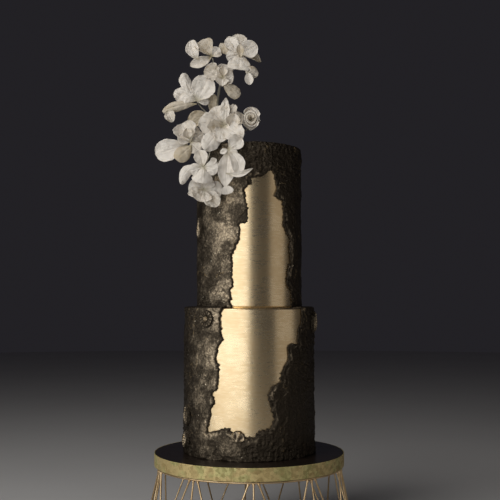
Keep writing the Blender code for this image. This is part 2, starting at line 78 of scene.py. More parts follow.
def piece(name, parts, finish, replaces=(), weld=0.0, outwards=False):
    """A mesh object of one or more parts, each (points, faces, attributes); it rides on the cake.

    weld merges points nearer than that, which closes seams and poles; outwards turns every face
    of a closed shape away from its inside.
    """
    sizes = np.cumsum([0] + [len(points) for points, _, _ in parts])
    mesh = bpy.data.meshes.new(name)
    faces = np.concatenate([f + start for (_, f, _), start in zip(parts, sizes)])
    mesh.from_pydata(np.concatenate([p for p, _, _ in parts]), [], faces)
    for key in parts[0][2]:
        values = np.concatenate([np.ravel(attributes[key]) for _, _, attributes in parts])
        mesh.attributes.new(key, "FLOAT", "POINT").data.foreach_set("value", values.astype(np.float32))
    if weld or outwards:
        bm = bmesh.new()
        bm.from_mesh(mesh)
        if weld:
            bmesh.ops.remove_doubles(bm, verts=bm.verts, dist=weld)
        if outwards:
            bmesh.ops.recalc_face_normals(bm, faces=bm.faces)
        bm.to_mesh(mesh)
        bm.free()
    mesh.shade_smooth()
    mesh.materials.append(finish)
    made = bpy.data.objects.new(name, mesh)
    bpy.context.scene.collection.objects.link(made)
    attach(made, "root")
    if replaces:
        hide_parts(*replaces)
    print(f"{name}: {len(mesh.polygons)} faces")
    return made


def thicken(made, thickness, rim_only=False, offset=-1.0):
    """Gives a sheet its wall, or with rim_only just the turned-in edge that shows."""
    wall = made.modifiers.new("Wall", "SOLIDIFY")
    wall.thickness = thickness
    wall.offset = offset
    wall.use_rim_only = rim_only


# %% [markdown]
# ## Unevenness
# Hand-made sugar work is never even. This noise gives every corner of a lattice in space a number
# from its place, and blends between corners. Because it is worked out in space, a pattern runs
# round a tier with no seam, and it is the same on every run.


# %% Noise in space
def corner_value(x, y, z, seed):
    """A number from 0 to 1 for a lattice corner: its whole numbers are multiplied, mixed and cut."""
    n = (x * 374761393 + y * 668265263 + z * 1440662683 + seed * 1274126177) & 0xFFFFFFFF
    n = ((n ^ (n >> 13)) * 1274126177) & 0xFFFFFFFF
    return ((n ^ (n >> 16)) & 0xFFFF) / 65535.0


def noise(points, size, seed=0):
    """Smooth noise from -1 to 1: the eight lattice corners round each point, blended by nearness."""
    place = points / size
    low = np.floor(place).astype(np.int64)
    part = place - low
    part = part * part * (3 - 2 * part)
    total = 0.0
    for corner in itertools.product((0, 1), repeat=3):
        weight = np.prod(np.where(np.array(corner) == 1, part, 1 - part), axis=-1)
        total = total + weight * corner_value(*np.moveaxis(low + corner, -1, 0), seed)
    return 2 * total - 1


def rough(points, size, seed=0, octaves=3):
    """Noise at a size, plus half as much at half the size, and so on."""
    return sum(noise(points, size / 2**i, seed + 17 * i) / 2**i for i in range(octaves))


def ramp(x, low, high):
    """0 below low, 1 above high, and a smooth step between them."""
    t = np.clip((x - low) / (high - low), 0, 1)
    return t * t * (3 - 2 * t)


def bump(x, centre, width):
    """A bell curve of height 1."""
    return np.exp(-(((x - centre) / width) ** 2))


# %% [markdown]
# ## Finishes
# A finish is a small tree of shader nodes. Sums and products of its values are easier to read as
# Python expressions, so this class wraps an output socket and adds a Math node for each operator.
# Any other node comes from its `node` method.


# %% A socket that does arithmetic
class Tint:
    """One output socket of a material's node tree."""

    def __init__(self, socket):
        self.socket = socket

    def node(self, kind, settings=None, inputs=None, out=0):
        """Adds a node: its settings first, then the values or links of its sockets."""
        tree = self.socket.id_data
        made = tree.nodes.new("ShaderNode" + kind)
        for key, value in (settings or {}).items():
            setattr(made, key, value)
        for key, value in (inputs or {}).items():
            if isinstance(value, Tint):
                tree.links.new(value.socket, made.inputs[key])
            else:
                made.inputs[key].default_value = value
        return Tint(made.outputs[out])

    def math(self, operation, first, second=0.0):
        return self.node("Math", {"operation": operation}, {0: first, 1: second})

    def __add__(self, other):
        return self.math("ADD", self, other)

    def __sub__(self, other):
        return self.math("SUBTRACT", self, other)

    def __rsub__(self, other):
        return self.math("SUBTRACT", other, self)

    def __mul__(self, other):
        return self.math("MULTIPLY", self, other)

    def __pow__(self, other):
        return self.math("POWER", self, other)

    __radd__ = __add__
    __rmul__ = __mul__

    def step(self, low, high):
        """0 below low, 1 above high, smooth between."""
        settings = {"interpolation_type": "SMOOTHSTEP"}
        return self.node("MapRange", settings, {"Value": self, "From Min": low, "From Max": high})

    def blend(self, start, end):
        """The colour start where this value is 0, end where it is 1."""
        pair = ((6, start), (7, end))
        sides = {key: side if isinstance(side, Tint) else (*side, 1.0) for key, side in pair}
        return self.node("Mix", {"data_type": "RGBA"}, {0: self, **sides}, out=2)

    def noise(self, size, detail=3.0, roughness=0.55, stretch=(1, 1, 1)):
        """Noise at a size in metres, on this vector; stretch scales the vector first."""
        vector = self
        if stretch != (1, 1, 1):
            vector = self.node("Mapping", {}, {"Vector": self, "Scale": stretch})
        values = {"Vector": vector, "Scale": 1 / size, "Detail": detail, "Roughness": roughness}
        return self.node("TexNoise", {}, values)

    def cells(self, size, feature="F1"):
        """Voronoi cells at a size in metres, on this vector."""
        inputs = {"Vector": self, "Scale": 1 / size}
        return self.node("TexVoronoi", {"feature": feature}, inputs, out="Distance")

    def attribute(self, name):
        return self.node("Attribute", {"attribute_name": name}, out="Fac")


def new_finish(name, **constants):
    """A material, its Principled shader's sockets by name, and the place on the object."""
    made = bpy.data.materials.new(name)
    made.use_nodes = True
    shader = made.node_tree.nodes["Principled BSDF"]
    for key, value in constants.items():
        shader.inputs[key.replace("_", " ").title()].default_value = value
    coordinates = made.node_tree.nodes.new("ShaderNodeTexCoord")
    return made, shader.inputs, Tint(coordinates.outputs["Object"])


def feed(sockets, **values):
    """Links each value to the shader's socket of that name."""
    for key, value in values.items():
        socket = sockets[key.replace("_", " ").title()]
        socket.id_data.links.new(value.socket, socket)


def raised(height, depth, strength=1.0):
    """The normal of a surface that rises by height times depth, in metres."""
    return height.node("Bump", {}, {"Height": height, "Distance": depth, "Strength": strength})


# %% [markdown]
# ## The gold tiers
# Under the bark each tier is covered in smooth sugar paste and brushed with gold lustre dust in
# alcohol. The surface is a profile of radius and height turned round the axis. A real tier is
# never a perfect cylinder, so the radius wanders by a few tenths of a millimetre, which bends the
# long upright reflections. The finish is a metal with a soft gloss, a little thinner and browner
# where the brush left less dust, with faint level brush marks.


# %% Gold lustre
def gold_lustre():
    made, sockets, place = new_finish("gold_lustre", metallic=0.92)
    clouds = place.noise(0.05, 4, 0.6)
    strokes = place.noise(0.012, 3, 0.6, stretch=(1, 1, 6))
    thin = (0.55 * clouds + 0.45 * strokes).step(0.38, 0.62)
    color = thin.blend((0.72, 0.54, 0.31), (0.80, 0.64, 0.41))
    grain = place.noise(0.0011, 2)
    feed(
        sockets,
        base_color=color,
        roughness=0.30 - 0.06 * thin + 0.04 * grain,
        normal=raised(0.5 * strokes + 0.2 * grain, 0.0002, 0.16),
    )
    return made


GOLD = gold_lustre()


# %% Turned tiers
def turned(profile, cols, wander=0.0, seed=0):
    """A profile of (radius, height) rows turned round the axis; wander is how far the radius strays."""
    angle = np.linspace(0, math.tau, cols, endpoint=False)
    radius, height = (np.array(profile)[:, k, None] for k in (0, 1))
    flat = np.stack(np.broadcast_arrays(radius * np.cos(angle), radius * np.sin(angle), height), -1)
    stray = 1 + wander * noise(flat, 0.07, seed) / np.maximum(radius, 0.02)
    points = flat * np.stack([stray, stray, np.ones_like(stray)], -1)
    return points.reshape(-1, 3), grid_faces(len(profile), cols, wrap=True), {}


def rounded_corner(radius, height, bend, steps=6):
    """Points of a quarter circle from a wall's radius up on to a top at a height."""
    turn = np.linspace(0, math.pi / 2, steps)
    return np.stack([radius - bend + bend * np.cos(turn), height - bend + bend * np.sin(turn)], -1)


def tier(name, node, seed):
    low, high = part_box(node)
    radius, foot, top = high[0] - 0.0002, low[2], high[2]
    wall = np.stack([np.full(60, radius), np.linspace(foot, top - 0.003, 60)], -1)
    profile = np.concatenate([[[0, foot]], wall, rounded_corner(radius, top, 0.0025), [[0, top]]])
    return piece(name, [turned(profile, 192, 0.0002, seed)], GOLD, [node], weld=WELD)


tier("lower_tier", "tier_lower", 1)
tier("upper_tier", "tier_upper", 2)

# %% [markdown]
# ## The torn bark
# The bark is sugar paste rolled thin, torn by hand and laid on in overlapping sheets, so its
# edges are ragged and lifted, and its face is crumpled. One sheet could be sculpted, but here it is
# a height over the tier's wall, worked out for each point of a fine grid: each overlapping sheet
# adds a step with a lifted lip, and finer noise crumples it. Cells that lie inside the gold panel
# are left out, and the points next to the tear are moved on to it.

# %% The torn outlines of the gold panels
# Seen from the front: (x, height above the tier's foot) in millimetres.
LOWER_PANEL = [
    (-42, 236), (-42, 224), (-45, 205), (-40, 182), (-48, 167), (-51, 152), (-46, 143), (-46, 131),
    (-48, 107), (-56, 100), (-52, 87), (-58, 76), (-60, 61), (-65, 39), (-44, 47), (-31, 50),
    (-24, 42), (-20, 37), (9, 37), (14, 45), (32, 50), (37, 63), (32, 79), (27, 97), (32, 110),
    (47, 118), (50, 134), (58, 148), (60, 159), (57, 170), (63, 175), (75, 175), (76, 195),
    (81, 208), (82, 236),
]  # fmt: skip
UPPER_PANEL = [
    (-26, -6), (-26, 1), (-30, 10), (-26, 14), (-30, 28), (-24, 32), (-26, 51), (-25, 60),
    (-26, 81), (-19, 98), (-14, 107), (-14, 129), (-2, 133), (-2, 155), (-5, 170), (-6, 185),
    (4, 193), (2, 202), (22, 204), (28, 212), (35, 216), (39, 208), (43, 194), (42, 184),
    (37, 174), (52, 169), (54, 147), (52, 130), (60, 114), (65, 108), (62, 97), (65, 74),
    (59, 61), (58, 36), (64, 27), (67, 14), (66, 0), (66, -6),
]  # fmt: skip


def torn_outline(knots, radius, seed):
    """The panel's outline unrolled on the wall: millimetres along the wall and up, with torn notches.

    The knots are joined by straight runs, cut into short steps, and each step is pushed sideways by
    noise that is sharp where it turns back, so the tear has points and bays of 1 to 6 mm.
    """
    knots = np.array(knots, float)
    along = radius * np.arcsin(np.clip(knots[:, 0] / radius, -1, 1))
    line = np.stack([along, knots[:, 1]], -1)
    run = np.concatenate([[0], np.cumsum(np.linalg.norm(np.diff(line, axis=0), axis=1))])
    steps = np.arange(0, run[-1], 0.9)
    fine = np.stack([np.interp(steps, run, line[:, k]) for k in (0, 1)], -1)
    tangent = np.gradient(fine, axis=0)
    across = np.stack([-tangent[:, 1], tangent[:, 0]], -1)
    across /= np.linalg.norm(across, axis=1, keepdims=True)
    spot = np.stack([steps, 0 * steps, 0 * steps], -1)
    push = 1.5 * np.abs(noise(spot, 7, seed)) - 0.5
    push = push + 1.0 * noise(spot, 3.1, seed + 1) + 0.7 * noise(spot, 1.5, seed + 2)
    return fine + across * push[:, None]


def distance_to(outline, spots):
    """How far each spot is from the closed outline, negative inside, and its nearest outline point.

    Each spot is compared with every straight run of the outline at once, and it is inside where a
    level line from it crosses the outline an odd number of times.
    """
    start, end = outline, np.roll(outline, -1, axis=0)
    run = end - start
    share = np.einsum("nmk,mk->nm", spots[:, None] - start, run) / (run**2).sum(-1)
    near = start + run * np.clip(share, 0, 1)[..., None]
    gap = np.linalg.norm(spots[:, None] - near, axis=-1)
    best = gap.argmin(axis=1)
    rows = np.arange(len(spots))
    with np.errstate(divide="ignore", invalid="ignore"):
        cross = start[:, 0] + (spots[:, None, 1] - start[:, 1]) * run[:, 0] / run[:, 1]
    spans = (start[:, 1] > spots[:, None, 1]) != (end[:, 1] > spots[:, None, 1])
    inside = (spans & (spots[:, None, 0] < cross)).sum(axis=1) % 2 == 1
    return np.where(inside, -gap[rows, best], gap[rows, best]), near[rows, best]


# %% The crumpled height
BARK_DEPTH = 2.6  # millimetres from the CAD bark's outside in to the smooth wall under the creases
BEND = 2.5  # millimetres, the radius of the fold over a tier's edge


def slope_of(field, step_rows, step_cols):
    """How fast a field changes over the grid, per millimetre."""
    return np.hypot(*np.gradient(field, step_rows, step_cols)) + 1e-3


def bark_height(place, tear, crumple, seed, step_rows, step_cols):
    """The bark's height in millimetres, how gilded each point is, and how worn.

    place is in millimetres on the smooth wall, tear the distance from the torn outline, and
    crumple from 0 to 1 how deeply the paste is creased there. Four sheets overlap: each covers
    the wall where its noise is above zero, adds a step, and its lip curls up. They crowd along
    the tear and where the paste is crumpled. Creases are noise folded at zero, so that they have
    sharp bottoms.
    """
    height = 0.7 * rough(place, 26, seed, 3)
    edge = 0 * tear
    upright = place * np.array([1, 1, 0.42])
    for sheet, (size, step) in enumerate([(58, 0.8), (34, 0.6), (20, 0.5), (13, 0.4)]):
        field = rough(upright if sheet % 2 else place, size, seed + 31 * sheet, 4)
        field = field + 0.34 - 0.55 * bump(tear, 0, 6 + 4 * sheet) - 0.28 * crumple
        inward = np.clip(field / slope_of(field, step_rows, step_cols), -12, 12)
        inward = inward + 0.5 * noise(place, 2.2, seed + sheet)
        lip = bump(inward, 0.9, 0.9)
        height += step * ramp(inward, -0.2, 0.8) + 0.5 * lip * (0.4 + crumple)
        edge = np.maximum(edge, (0.9 - 0.12 * sheet) * bump(inward, 0.8, 0.55))
    folds = 1 - 2 * np.abs(rough(place, 7.5, seed + 200, 3))
    fine = 1 - 2 * np.abs(noise(place, 3.2, seed + 210))
    near = bump(tear, 4, 4.5) * ramp(noise(place, 16, seed + 70), -0.6, 0.3)
    height += (0.12 + 1.1 * np.maximum(crumple, near)) * folds
    height += (0.10 + 0.5 * crumple + 0.6 * near) * fine
    height += 0.7 * bump(tear, 1.6, 1.4) * (0.5 + 0.7 * noise(place, 9, seed + 5))
    height -= 0.8 * bump(tear, 0, 0.7)
    gilt = edge * ramp(noise(place, 22, seed + 60), -0.1, 0.45) * ramp(tear, 1.5, 3)
    worn = ramp(height - 0.2 * rough(place, 9, seed + 50), 0.4, 2.6)
    return height, gilt, worn


def bark_sheet(node, panel, crumple_at, seed, cell):
    """The sheet round a tier's wall, as rows of height and columns of angle from the back round.

    Its dust value is partly real dust and partly a painted highlight: it is highest at the front left,
    where the key light's reflection falls, and raised on the whole left side; along the tear it is real
    dust on the worn crinkles, and it is lower where the paste is deeply creased.
    """
    low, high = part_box(node)
    radius, foot, top = high[0] / MM - BARK_DEPTH, low[2] / MM, high[2] / MM
    rows = round((top - foot - BEND) / cell) + 1
    cols = round(math.tau * radius / cell)
    up = np.linspace(0, top - foot - BEND, rows)
    angle = np.linspace(-math.pi, math.pi, cols, endpoint=False)
    wall_x, wall_z = np.meshgrid(radius * angle, up)
    outline = torn_outline(panel, high[0] / MM, seed)
    tear = np.full(wall_x.shape, 40.0)
    lo, hi = outline.min(axis=0) - 26, outline.max(axis=0) + 26
    close = (wall_x > lo[0]) & (wall_x < hi[0]) & (wall_z > lo[1]) & (wall_z < hi[1])
    spots = np.stack([wall_x[close], wall_z[close]], -1)
    tear[close], nearest = distance_to(outline, spots)
    snapped = np.zeros(wall_x.shape, bool)
    snapped[close] = np.abs(tear[close]) < 0.55 * cell
    move = snapped[close]
    wall_x[snapped], wall_z[snapped] = nearest[move, 0], np.clip(nearest[move, 1], 0, up[-1])
    tear[snapped] = 0
    turn = wall_x / radius
    place = np.stack([radius * np.sin(turn), -radius * np.cos(turn), wall_z + foot], -1)
    crumple = crumple_at(turn, wall_z)
    step_rows, step_cols = up[1], math.tau * radius / cols
    height, gilt, worn = bark_height(place, tear, crumple, seed, step_rows, step_cols)
    out = radius + 0.4 + np.clip(height, -0.2, 4.6)
    points = np.stack([out * np.sin(turn), -out * np.cos(turn), place[..., 2]], -1) * MM
    faces = grid_faces(rows, cols, wrap=True)
    faces = faces[(tear.ravel()[faces] >= 0).all(axis=1)]
    # Painted highlight: the dust value rises at the front left, where the key light's reflection falls, and
    # on the whole left side; it is kept off the first millimetres by the tear.
    dust_and_sheen = bump(turn, -0.42, 0.46) * ramp(tear, 1, 5) + 0.2 * ramp(-turn, 0.2, 0.8) + 0.06
    dust_and_sheen = dust_and_sheen + 0.9 * bump(tear, 5, 3) * worn
    values = {"gilt": gilt, "worn": worn, "dust_and_sheen": dust_and_sheen * (0.55 + 0.45 * ramp(crumple, 0.7, 0.2))}
    return (points.reshape(-1, 3), faces, values), out[-1]


# %% [markdown]
# ## The bark's finish
# Black paste is dusted with bronze and gold while it is soft, so the dust sits on lifted edges and
# on broad rubbed patches, and the creases stay black. The finish reads the three numbers that the
# grid stored, and mixes near-black paste with bronze and gold by them. The dust number also holds a
# painted highlight, so the bronze is painted brighter and more metallic at the front left, where the
# key light's reflection falls. A few specks of dust glint, and they crowd where that painted
# highlight is.


# %% Bark finish
def bark_finish():
    made, sockets, place = new_finish("bark_paste", specular_tint=(1.0, 0.80, 0.58, 1.0))
    gilt, worn, dust_and_sheen = place.attribute("gilt"), place.attribute("worn"), place.attribute("dust_and_sheen")
    clouds = place.noise(0.030, 4, 0.62).step(0.40, 0.66)
    grain = place.noise(0.0042, 5, 0.7)
    crumbs = place.noise(0.0036, 4, 0.6).step(0.40, 0.66)
    cracks = place.cells(0.007, "DISTANCE_TO_EDGE").step(0.0, 0.12)
    # Painted highlight: the bronze dust mask follows the dust value, which is painted high at the front
    # left where the key light reflects.
    rubbed_dust_and_sheen = dust_and_sheen * (0.35 + 0.75 * clouds) * (0.7 + 0.3 * worn) * (0.5 + 0.5 * crumbs)
    rubbed_dust_and_sheen = (rubbed_dust_and_sheen * (0.65 + 0.35 * cracks) * (0.6 + 0.8 * grain)).step(0.04, 0.95)
    paste = place.noise(0.02, 3).blend((0.0035, 0.0026, 0.0018), (0.014, 0.010, 0.0065))
    bronzed_and_sheen = rubbed_dust_and_sheen.blend(paste, (0.58, 0.47, 0.33))
    lines = (gilt * grain.step(0.34, 0.6)).step(0.2, 0.85)
    gilded = (0.7 * lines).blend(bronzed_and_sheen, (0.46, 0.33, 0.17))
    # The glinting specks follow the same dust value, so they also crowd where the painted highlight is.
    specks = 1 - place.cells(0.0064).step(0.08, 0.15)
    glints = specks * place.noise(0.021, 2).step(0.50, 0.60) * (0.15 + 2.2 * dust_and_sheen).step(0.0, 1.0)
    feed(
        sockets,
        base_color=glints.blend(gilded, (0.9, 0.8, 0.62)),
        metallic=(0.9 * rubbed_dust_and_sheen + 0.5 * lines + glints).step(0.0, 0.9),
        roughness=0.46 - 0.12 * rubbed_dust_and_sheen - 0.12 * lines - 0.2 * glints,
        normal=raised(0.7 * grain + 0.3 * crumbs, 0.0018, 0.9),
    )
    return made


BARK = bark_finish()


# %% Wrap the upper tier
def near_rim(turn, up):
    """Deep creases in the top 50 mm, fading down, and shallow ones near the foot."""
    return np.clip(ramp(up, 196, 238) + 0.45 * (1 - ramp(up, 0, 30)) + 0.22, 0, 1)


BARK_EDGE = 2.2 * MM  # how far a torn edge is turned in

upper_part, upper_rim = bark_sheet("bark_upper", UPPER_PANEL, near_rim, 11, 1.15)
upper_bark = piece("upper_bark", [upper_part], BARK, ["bark_upper"])
thicken(upper_bark, BARK_EDGE, rim_only=True)


# %% Wrap the lower tier
def near_foot(turn, up):
    """Deep creases at the foot and the far sides, shallow ones between."""
    sides = ramp(np.abs(turn), 0.75, 1.5)
    return np.clip(0.7 * (1 - ramp(up, 14, 52)) + 0.35 * sides + 0.2, 0, 1)


lower_part, lower_rim = bark_sheet("bark_lower", LOWER_PANEL, near_foot, 43, 1.25)
lower_bark = piece("lower_bark", [lower_part], BARK, ["bark_lower"])
thicken(lower_bark, BARK_EDGE, rim_only=True)

# %% [markdown]
# ## The bark's folded tops
# At the top of each tier the bark folds over the edge. On the upper tier it covers the whole top,
# and on the lower one a ring round the upper tier's foot. The fold starts from the wall's last row
# of points, so nothing shows between them, and it runs in towards the axis with the same creases.


# %% Fold the tops over
def folded_top(name, node, rim, inner, panel, seed):
    """Rows from the wall's top edge in to the inner radius, columns of angle as on the wall.

    panel is how far the gold panel reaches to the left and right, in mm, where it cuts the fold.
    """
    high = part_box(node)[1]
    top, cols = high[2] / MM, len(rim)
    angle = np.linspace(-math.pi, math.pi, cols, endpoint=False)
    bend = np.linspace(0, math.pi / 2, 5)[:, None]
    outer = high[0] / MM - BARK_DEPTH
    flat = outer - BEND
    reach = np.linspace(1, 0, round((flat - inner) / 1.4))[1:, None]
    radius = np.concatenate([flat + BEND * np.cos(bend), inner + (flat - inner) * reach])
    level = np.concatenate([top - BEND + BEND * np.sin(bend), top + 0 * reach])
    place = np.stack([radius * np.sin(angle), -radius * np.cos(angle), level + 0 * angle], -1)
    folds = 1 - 2 * np.abs(rough(place, 8, seed + 200, 3))
    plates = ramp(rough(place, 30, seed + 9, 4), -0.03, 0.05)
    plates = plates + 0.7 * ramp(rough(place, 17, seed + 4, 4), 0.1, 0.17)
    lift = 0.55 * folds + 0.9 * plates + 0.3 * noise(place, 3, seed)
    fade = np.clip((outer - radius) / 6, 0, 1)
    spread = (rim - outer) * np.clip(1 - (outer - radius) / 5, 0, 1)
    shift = [np.sin(angle) * spread, -np.cos(angle) * spread, fade * lift - 1.4 * fade]
    points = place + np.stack(shift, -1)
    gilt = 0.5 * bump(folds, 1, 0.1) * fade
    values = {"gilt": gilt, "worn": ramp(lift, 0, 2), "dust_and_sheen": 0.06 + 0 * lift}
    faces = grid_faces(len(radius), cols, wrap=True)
    if panel:
        open_from, open_to = (math.asin(x / (high[0] / MM)) for x in panel)
        shown = (angle < open_from) | (angle > open_to)
        faces = faces[np.tile(shown, len(radius) - 1)[: len(faces)]]
    parts = [(points.reshape(-1, 3) * MM, faces, values)]
    return piece(name, parts, BARK, [node], weld=WELD)


folded_top("upper_bark_top", "bark_upper", upper_rim, 0, None, 11)
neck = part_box("bark_upper")[1][0] / MM + 0.6
lower_top = folded_top("lower_bark_top", "bark_lower", lower_rim, neck, (-42, 82), 43)
thicken(lower_top, BARK_EDGE, rim_only=True)

# %% [markdown]
# ## The iced board
# The board is covered in black paste and polished, so it mirrors the cake dimly. Round its edge
# goes a ribbon pressed with leaf, mottled green-gold with rubbed brown specks.


# %% Board and ribbon
def black_polish():
    made, sockets, place = new_finish("black_polish", coat_weight=0.5, coat_roughness=0.12)
    clouds = place.noise(0.03, 4)
    feed(
        sockets,
        base_color=clouds.blend((0.006, 0.004, 0.003), (0.022, 0.013, 0.009)),
        roughness=0.22 + 0.18 * clouds,
        normal=raised(place.noise(0.012, 3), 0.0006, 0.3),
    )
    return made


def leaf_finish():
    made, sockets, place = new_finish("mottled_leaf")
    flakes = place.node("TexVoronoi", {"feature": "F1"}, {"Vector": place, "Scale": 210.0}, out="Color")
    patch = flakes.node("SeparateColor", {}, {"Color": flakes})
    clouds = place.noise(0.016, 5, 0.65)
    speckle = place.noise(0.003, 3, 0.6)
    tone = (0.5 * clouds + 0.3 * patch + 0.25 * speckle).step(0.3, 0.72)
    green = place.noise(0.022, 3).step(0.45, 0.6)
    bright = green.blend((0.66, 0.52, 0.24), (0.58, 0.53, 0.23))
    dull = green.blend((0.38, 0.28, 0.11), (0.32, 0.28, 0.10))
    worn = speckle.step(0.62, 0.72)
    feed(
        sockets,
        base_color=(0.6 * worn).blend(tone.blend(dull, bright), (0.20, 0.10, 0.045)),
        metallic=0.25 + 0.25 * tone,
        roughness=0.46 + 0.25 * (1 - tone),
        normal=raised(0.6 * speckle + 0.4 * clouds, 0.0011, 0.6),
    )
    return made


def board_pieces():
    """The board as a turned profile, and the ribbon as a closed turned loop with a rolled edge."""
    low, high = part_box("board")
    radius, foot, top = high[0] - 0.0001, low[2], high[2]
    ring = np.linspace(0, radius - 0.004, 40)[:, None]
    face = np.hstack([ring, 0 * ring + top])[::-1]
    profile = np.concatenate([[[0, foot], [radius, foot]], rounded_corner(radius, top, 0.0008), face])
    piece("cake_board", [turned(profile, 192)], black_polish(), ["board"], weld=WELD)
    low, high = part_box("board_band")
    turn = np.linspace(0, math.tau, 40, endpoint=False)
    thick, tall = 0.0006, (high[2] - low[2]) / 2
    across = np.sign(np.cos(turn)) * np.abs(np.cos(turn)) ** 0.4 * thick
    upward = np.sign(np.sin(turn)) * np.abs(np.sin(turn)) ** 0.25 * tall
    loop = np.stack([high[0] - thick + across, low[2] + tall + upward], -1)
    loop = np.concatenate([loop, loop[:1]])
    parts = [turned(loop, 256, 0.0002, 4)]
    piece("leaf_ribbon", parts, leaf_finish(), ["board_band"], weld=WELD)


board_pieces()

# %% [markdown]
# ## The wire stand
# The stand is bent from brass wire and soldered: two rings, uprights, and two braces beside each
# upright that meet the next pair's at the foot. Each wire is a circle carried along a path, and a
# small swelling at each end is the solder.


# %% Wires
UPRIGHTS = 10
FIRST_UPRIGHT = 2.5  # degrees from the front
BRACE_HEAD, BRACE_FOOT = 2.8, 16.7  # degrees beside its upright, at the top ring and at the foot
HEXAGON_CORNER = 1.1547  # how much further out a hexagon's corner is than the middle of its side


def brass_finish():
    made, sockets, place = new_finish("satin_brass", metallic=1.0)
    tarnish = place.noise(0.02, 4)
    feed(
        sockets,
        base_color=tarnish.step(0.35, 0.7).blend((0.78, 0.58, 0.34), (0.60, 0.42, 0.22)),
        roughness=0.3 + 0.2 * tarnish,
        normal=raised(place.noise(0.0015, 2), 0.0002, 0.3),
    )
    return made


def tube(path, radius, sides=12):
    """A circle carried along a path: at each point it stands across the path's direction.

    The circle's first axis is across both the path and a fixed far direction, so the tube
    doesn't twist. Its two ends are drawn together to a point, which closes them.
    """
    path = np.asarray(path, float)
    along = np.gradient(path, axis=0)
    along /= np.linalg.norm(along, axis=1, keepdims=True)
    first = np.cross(along, (0.31, 0.87, 0.38))
    first /= np.linalg.norm(first, axis=1, keepdims=True)
    second = np.cross(along, first)
    turn = np.linspace(0, math.tau, sides, endpoint=False)[None, :, None]
    circle = first[:, None] * np.cos(turn) + second[:, None] * np.sin(turn)
    points = path[:, None] + circle * np.broadcast_to(radius, len(path))[:, None, None]
    points = np.concatenate([path[None, :1].repeat(sides, 1), points, path[None, -1:].repeat(sides, 1)])
    return points.reshape(-1, 3), grid_faces(len(points), sides, wrap=True), {}


def wire_ring(node):
    """A round wire bent into a ring, from the box of the ring's six-sided CAD wire."""
    low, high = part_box(node)
    wire = (high[2] - low[2]) / 2
    radius = high[0] - wire * HEXAGON_CORNER
    turn = np.linspace(0, math.tau, 20, endpoint=False)
    loop = np.stack([radius + wire * np.cos(turn), low[2] + wire + wire * np.sin(turn)], -1)
    return turned(np.concatenate([loop, loop[:1]]), 240), radius


def around(degrees, radius, height):
    """A point at an angle from the front towards +X, at a radius and a height."""
    turn = math.radians(degrees)
    return np.array([radius * math.sin(turn), -radius * math.cos(turn), height])


def stand_piece():
    foot_ring, foot_radius = wire_ring("stand_foot_ring")
    top_ring, top_radius = wire_ring("stand_top_ring")
    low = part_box("stand_foot_ring")[1][2] - 0.0006
    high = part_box("stand_top_ring")[0][2] + 0.0006
    share = np.array([0, 0.012, 0.03, 0.06, 0.5, 0.94, 0.97, 0.988, 1])[:, None]
    solder = np.array([1.75, 1.65, 1.3, 1, 1, 1, 1.3, 1.65, 1.75]) * 1.35 * MM
    parts = [foot_ring, top_ring]
    for i in range(UPRIGHTS):
        angle = FIRST_UPRIGHT + 360 / UPRIGHTS * i
        for side in (0, -1, 1):
            head = around(angle + side * BRACE_HEAD, top_radius, high)
            foot = around(angle + side * BRACE_FOOT, foot_radius, low)
            parts.append(tube(head + (foot - head) * share, solder))
    nodes = [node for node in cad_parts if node.startswith("stand_")]
    piece("wire_stand", parts, brass_finish(), nodes, weld=WELD, outwards=True)


stand_piece()

# %% [markdown]
# ## Moulded pieces on the bark
# Small shells, a daisy and a fan are pressed in silicone moulds and glued on the bark. Each is a
# mound over a flat outline, with its ribs and petals as a height, set upright against the wall.


# %% Moulded pieces
def on_wall(flat, tier_node, angle, up, turn):
    """Carries points (x, y, height in mm) of a flat piece on to the bark, wrapped round the tier."""
    low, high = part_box(tier_node)
    radius = high[0] / MM + 3.1
    tilt = math.radians(turn)
    x = flat[..., 0] * math.cos(tilt) - flat[..., 1] * math.sin(tilt)
    y = flat[..., 0] * math.sin(tilt) + flat[..., 1] * math.cos(tilt)
    bearing = math.radians(angle) + x / radius
    out = radius + flat[..., 2]
    return np.stack([out * np.sin(bearing), -out * np.cos(bearing), low[2] / MM + up + y], -1) * MM


def mound(reach, height, rows=36, cols=120):
    """A mound: rows from the rim to the middle, columns round it.

    reach gives the rim's x and y at an angle, and height the rise at each point, in mm.
    """
    around_it = np.linspace(0, math.tau, cols, endpoint=False)
    share, turn = np.meshgrid(np.linspace(1, 0, rows), around_it, indexing="ij")
    far = reach(turn)
    x, y = share * far[0], share * far[1]
    return np.stack([x, y, height(share, turn, x, y)], -1)


def moulded(name, node, flat, tier_node, angle, up, turn):
    """A mound set on the bark; its high points are rubbed with dust and gold."""
    points = on_wall(flat, tier_node, angle, up, turn)
    spread = noise(points, 0.004, 3)
    high = flat[..., 2] / flat[..., 2].max()
    gilt = 0.8 * ramp(high + 0.2 * spread, 0.6, 0.95)
    dust_and_sheen = 0.1 + 2.2 * ramp(high, 0.4, 1.0)
    values = {"gilt": gilt, "worn": ramp(high, 0.2, 0.9), "dust_and_sheen": dust_and_sheen}
    faces = grid_faces(*flat.shape[:2], wrap=True)
    piece(name, [(points.reshape(-1, 3), faces, values)], BARK, [node], weld=WELD)


def daisy_height(share, turn, x, y):
    """Fourteen rounded petals with a groove down each, round a beaded button."""
    petal = np.abs(np.cos(7 * turn))
    blades = (1.1 + 2.6 * np.sqrt(petal)) * ramp(share, 1.0, 0.8) * (0.55 + 0.45 * share)
    groove = 0.7 * bump(petal, 1, 0.05) * ramp(share, 0.4, 0.6)
    button = 2.6 * ramp(0.34 - share, 0, 0.1) + 0.5 * np.cos(x * 4) * np.cos(y * 4) * (share < 0.3)
    return np.where(share < 0.34, 1.2 + button, blades - groove)


